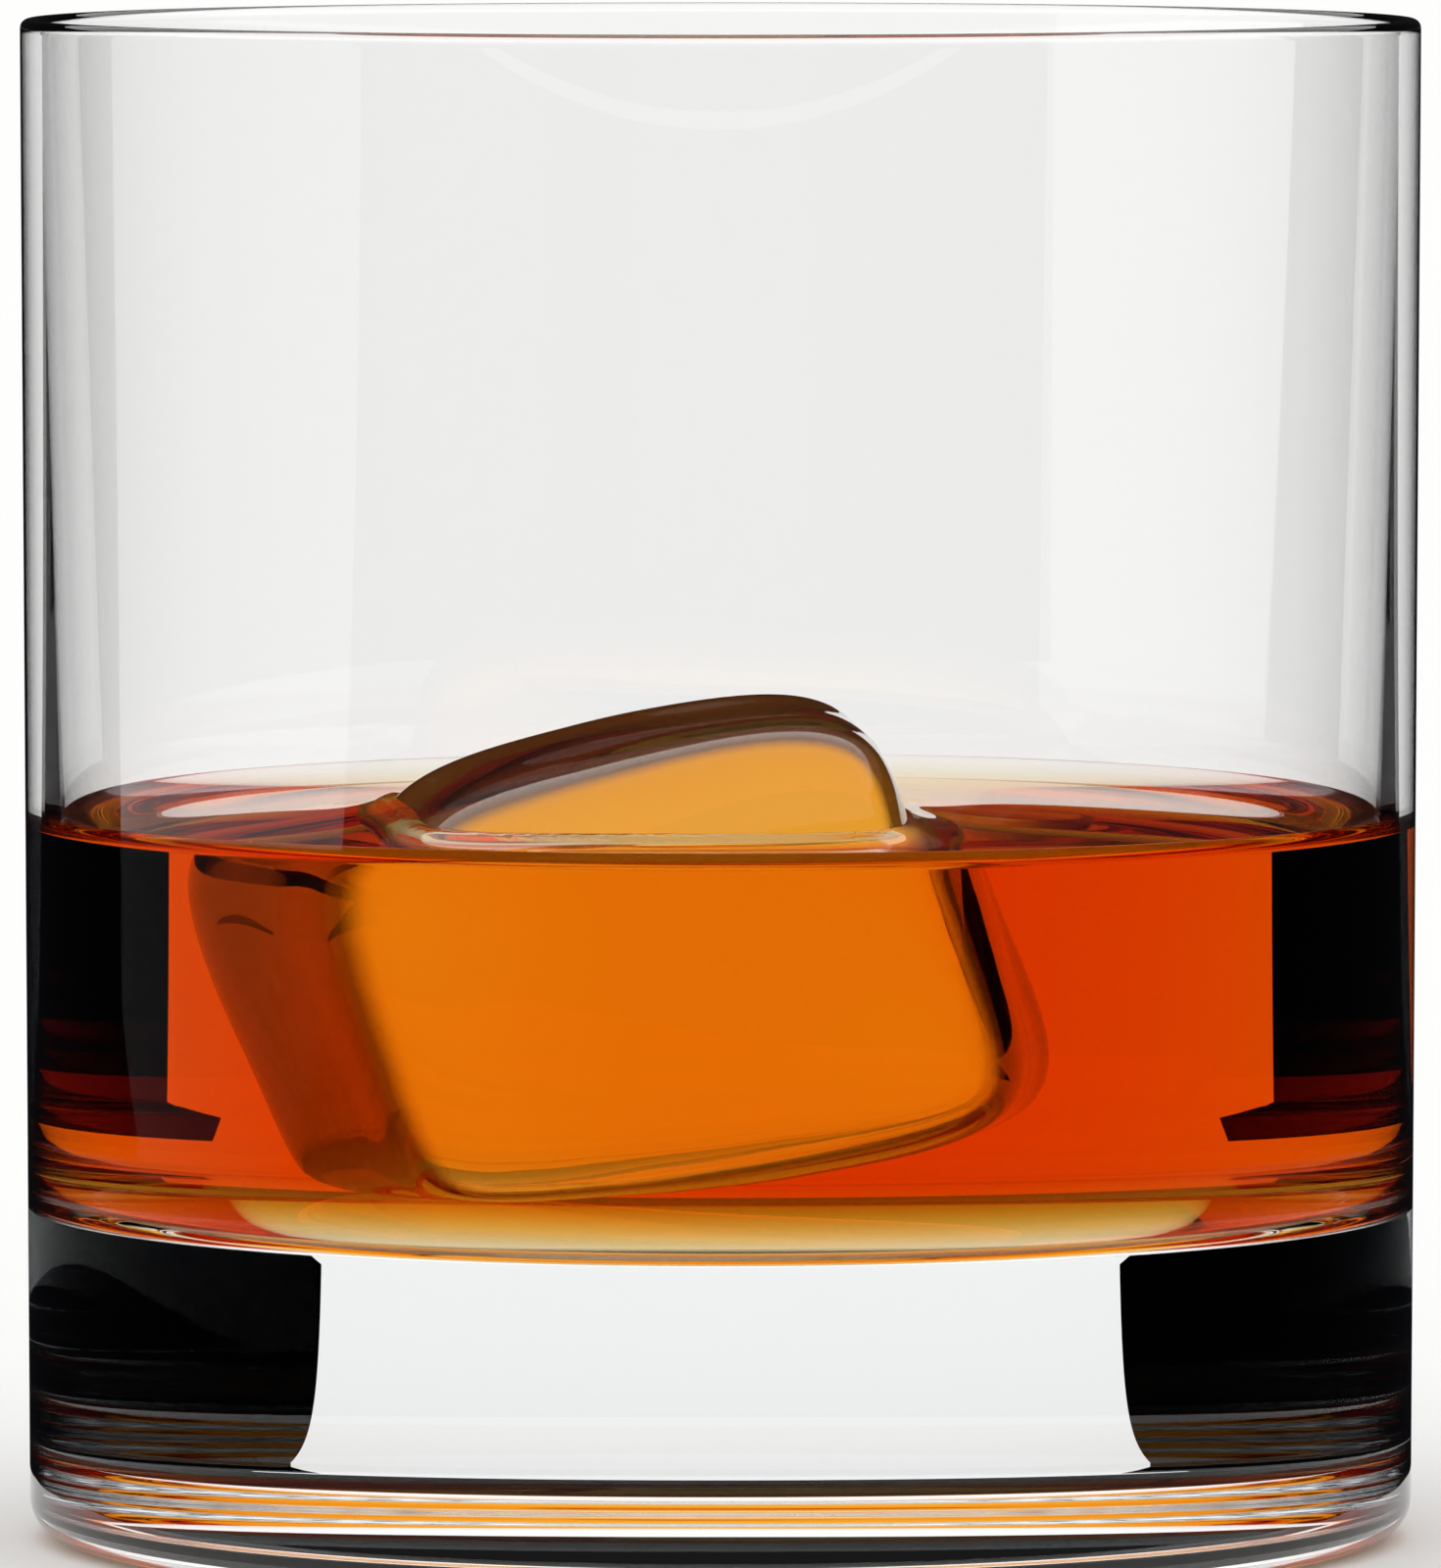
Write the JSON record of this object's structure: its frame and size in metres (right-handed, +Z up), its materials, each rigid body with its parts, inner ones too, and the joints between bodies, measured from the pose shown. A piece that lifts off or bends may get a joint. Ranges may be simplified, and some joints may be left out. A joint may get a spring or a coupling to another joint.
{
  "type": "whiskey tumbler",
  "caption": "Straight-sided clear tumbler with a thick base and rounded rim, holding amber whiskey and a melted ice block that lifts out.",
  "frame": {"origin": "centre of the foot, on the surface that the glass stands on", "axes": "+Z up the tumbler's axis through its mouth, +X to the right seen from the front, -Y to the front"},
  "size_m": [0.083, 0.083, 0.0902],
  "materials": {
    "clear_glass": "polished",
    "whiskey": "gloss",
    "ice": "gloss"
  },
  "bodies": {
    "glass": {"tumbler": "clear_glass", "whiskey": "whiskey"},
    "ice": {"ice_cube": "ice"}
  },
  "joints": [
    {"name": "ice_lift", "type": "slide", "parent": "glass", "child": "ice", "axis": [0, 0, 1], "range_m": [0, 0.075], "deforming": ["whiskey"]}
  ]
}
